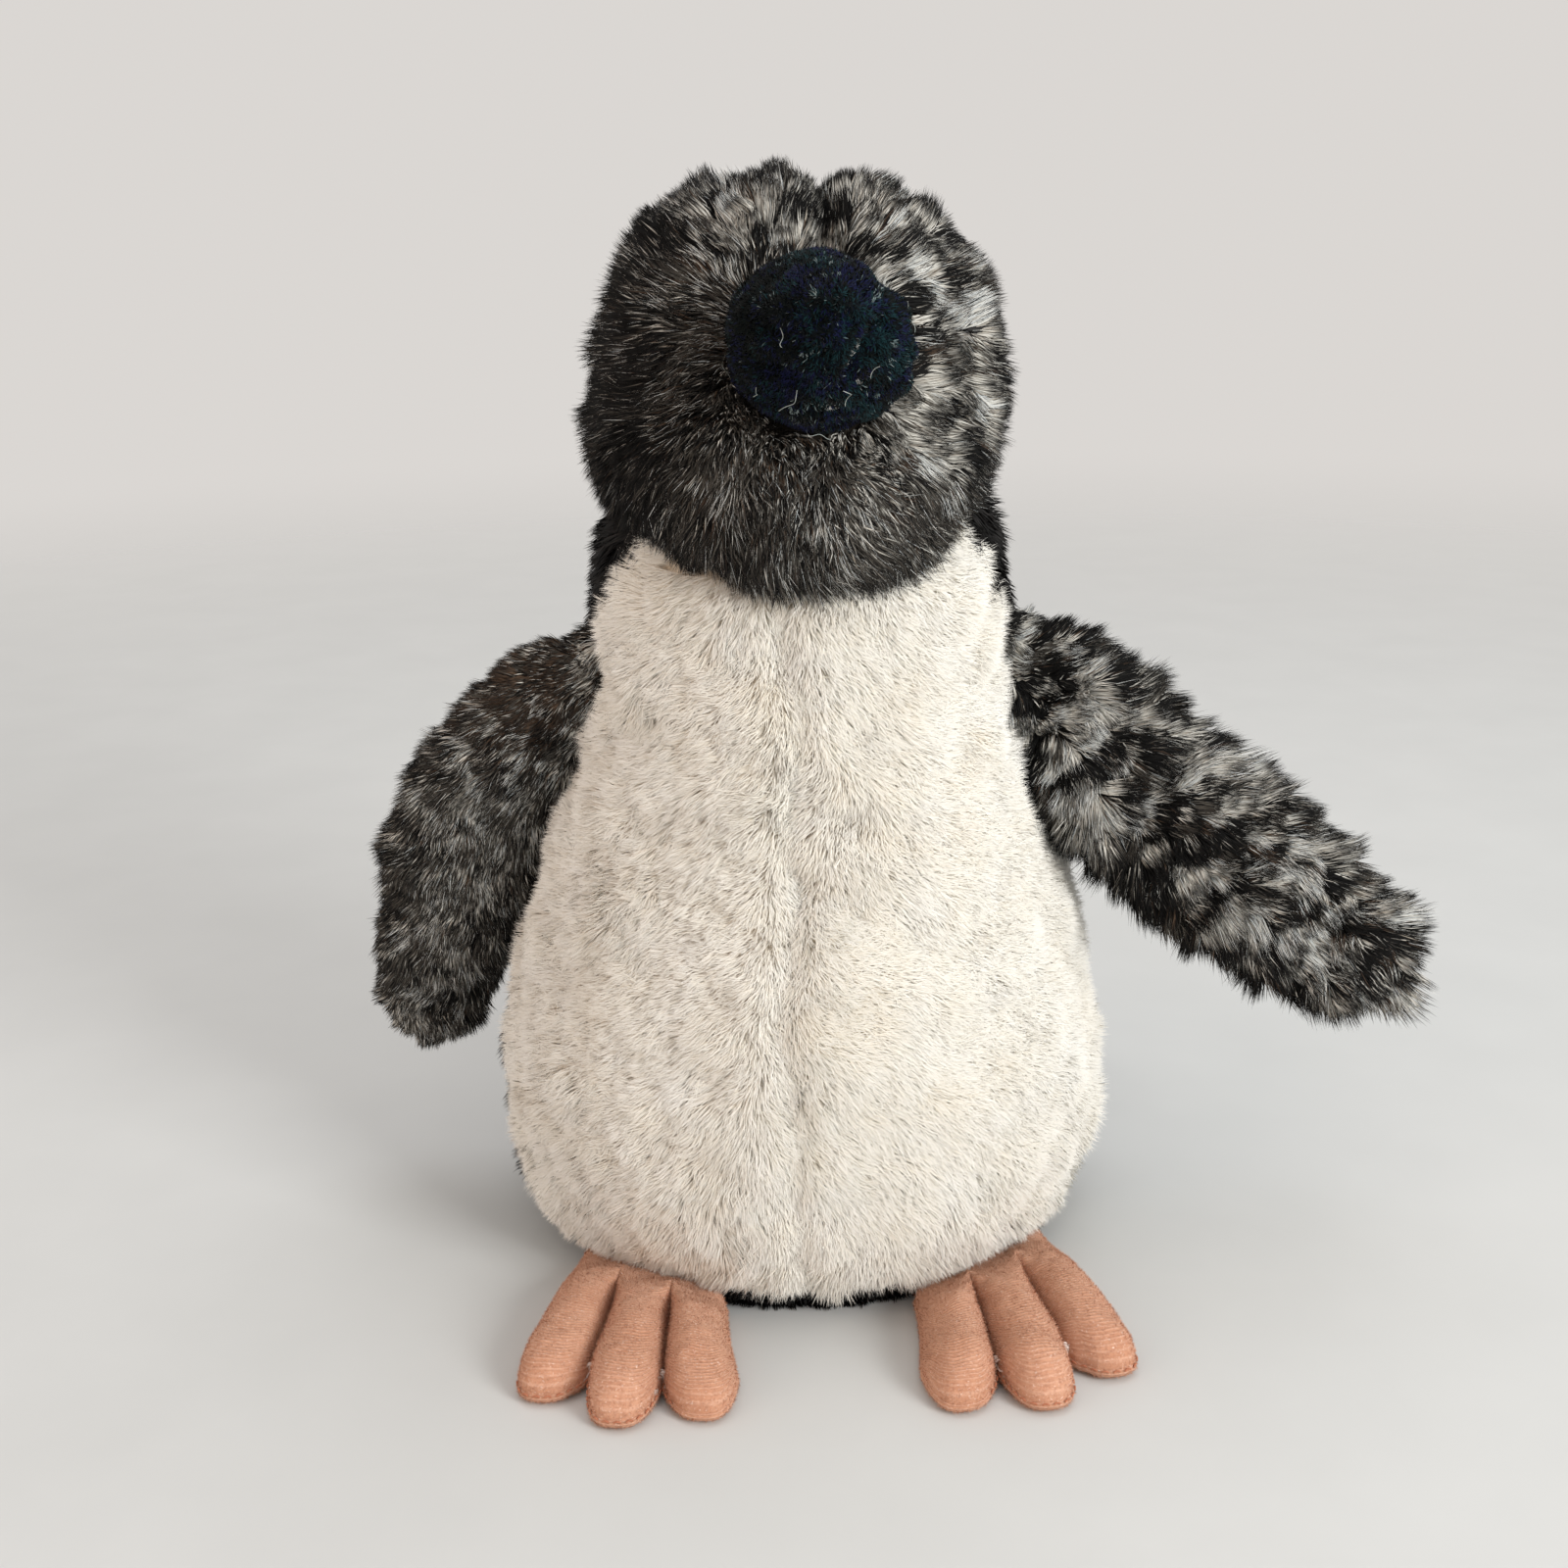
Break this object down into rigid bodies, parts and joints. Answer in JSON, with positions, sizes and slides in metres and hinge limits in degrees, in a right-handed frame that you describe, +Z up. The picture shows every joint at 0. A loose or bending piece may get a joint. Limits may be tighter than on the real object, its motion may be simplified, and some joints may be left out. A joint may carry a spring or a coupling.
{
  "type": "plush penguin",
  "caption": "Standing plush penguin with pile fabric panels sewn over stuffing, a nodding and turning head, folding wings and hinged three-toed feet.",
  "frame": {"origin": "on the table, under the middle of the body, at the flat underside of the base panel", "axes": "+Z up, the penguin faces -Y, +X is the penguin's left"},
  "size_m": [0.2415, 0.1715, 0.2411],
  "materials": {
    "cream_plush": "short cut pile, matt",
    "black_plush": "long cut pile, matt",
    "frosted_plush": "long cut pile, grey at the roots and black at the tips",
    "fibre_filling": "loose polyester fibre",
    "pouch_cloth": "plain woven",
    "plastic_pellets": "translucent bead filling",
    "black_thread": "twisted polyester",
    "white_thread": "twisted polyester",
    "label_satin": "blank satin ribbon",
    "navy_velour": "brushed short nap",
    "terracotta_knit": "brushed rib knit",
    "washer_plastic": "moulded",
    "black_eye": "polished"
  },
  "bodies": {
    "torso": {"belly_panel_left": "cream_plush", "belly_panel_right": "cream_plush", "back_panel_left": "black_plush", "back_panel_right": "black_plush", "base_panel": "black_plush", "torso_stuffing": "fibre_filling", "pellet_pouch_top": "pouch_cloth", "pellet_pouch_bottom": "pouch_cloth", "pellet_fill": "plastic_pellets", "closing_stitches": "black_thread", "care_label": "label_satin"},
    "neck": {"neck_stuffing": "fibre_filling"},
    "head": {"head_panel_left": "frosted_plush", "head_panel_right": "frosted_plush", "head_stuffing": "fibre_filling", "beak_upper": "navy_velour", "beak_lower": "navy_velour", "beak_stuffing": "fibre_filling", "eye_left": "black_eye", "eye_right": "black_eye", "eye_washer_left": "washer_plastic", "eye_washer_right": "washer_plastic"},
    "tail": {"tail_top": "black_plush", "tail_bottom": "black_plush"},
    "wing_left": {"wing_left_inner_front": "frosted_plush", "wing_left_inner_back": "frosted_plush", "wing_left_inner_stuffing": "fibre_filling"},
    "wing_left_tip": {"wing_left_outer_front": "frosted_plush", "wing_left_outer_back": "frosted_plush", "wing_left_outer_stuffing": "fibre_filling"},
    "foot_left": {"foot_left_upper": "terracotta_knit", "foot_left_sole": "terracotta_knit", "foot_left_stuffing": "fibre_filling", "foot_left_stitches": "white_thread"},
    "wing_right": {"wing_right_inner_front": "frosted_plush", "wing_right_inner_back": "frosted_plush", "wing_right_inner_stuffing": "fibre_filling"},
    "wing_right_tip": {"wing_right_outer_front": "frosted_plush", "wing_right_outer_back": "frosted_plush", "wing_right_outer_stuffing": "fibre_filling"},
    "foot_right": {"foot_right_upper": "terracotta_knit", "foot_right_sole": "terracotta_knit", "foot_right_stuffing": "fibre_filling", "foot_right_stitches": "white_thread"}
  },
  "joints": [
    {"name": "head_turn", "type": "hinge", "parent": "torso", "child": "neck", "pos_m": [0, -0.005, 0.199], "axis": [0, 0, 1], "range_deg": [-25, 25], "stiffness_Nm_per_rad": 0.3},
    {"name": "head_nod", "type": "hinge", "parent": "neck", "child": "head", "pos_m": [0, -0.005, 0.199], "axis": [1, 0, 0], "range_deg": [-12, 10], "stiffness_Nm_per_rad": 0.3},
    {"name": "wing_left_raise", "type": "hinge", "parent": "torso", "child": "wing_left", "pos_m": [0.04941, -0.006, 0.136], "axis": [0, -0.9703, 0.2419], "range_deg": [-8, 70]},
    {"name": "wing_left_fold", "type": "hinge", "parent": "wing_left", "child": "wing_left_tip", "pos_m": [0.07707, -0.01299, 0.10797], "axis": [-0.6691, -0.1798, -0.7211], "range_deg": [-40, 40]},
    {"name": "wing_right_raise", "type": "hinge", "parent": "torso", "child": "wing_right", "pos_m": [-0.04941, -0.006, 0.136], "axis": [0, 0.9511, 0.309], "range_deg": [-4, 75]},
    {"name": "wing_right_fold", "type": "hinge", "parent": "wing_right", "child": "wing_right_tip", "pos_m": [-0.07411, 0.0037, 0.10616], "axis": [-0.8829, -0.1451, 0.4465], "range_deg": [-40, 40]},
    {"name": "foot_left_lift", "type": "hinge", "parent": "torso", "child": "foot_left", "pos_m": [0.038, -0.04496, 0.004], "axis": [-0.8257, -0.5642, 0], "range_deg": [0, 25], "stiffness_Nm_per_rad": 0.04},
    {"name": "foot_right_lift", "type": "hinge", "parent": "torso", "child": "foot_right", "pos_m": [-0.038, -0.04496, 0.004], "axis": [-0.8257, 0.5642, 0], "range_deg": [0, 25], "stiffness_Nm_per_rad": 0.04},
    {"name": "tail_lift", "type": "hinge", "parent": "torso", "child": "tail", "pos_m": [0, 0.05294, 0.024], "axis": [1, 0, 0], "range_deg": [-10, 25], "stiffness_Nm_per_rad": 0.02}
  ]
}
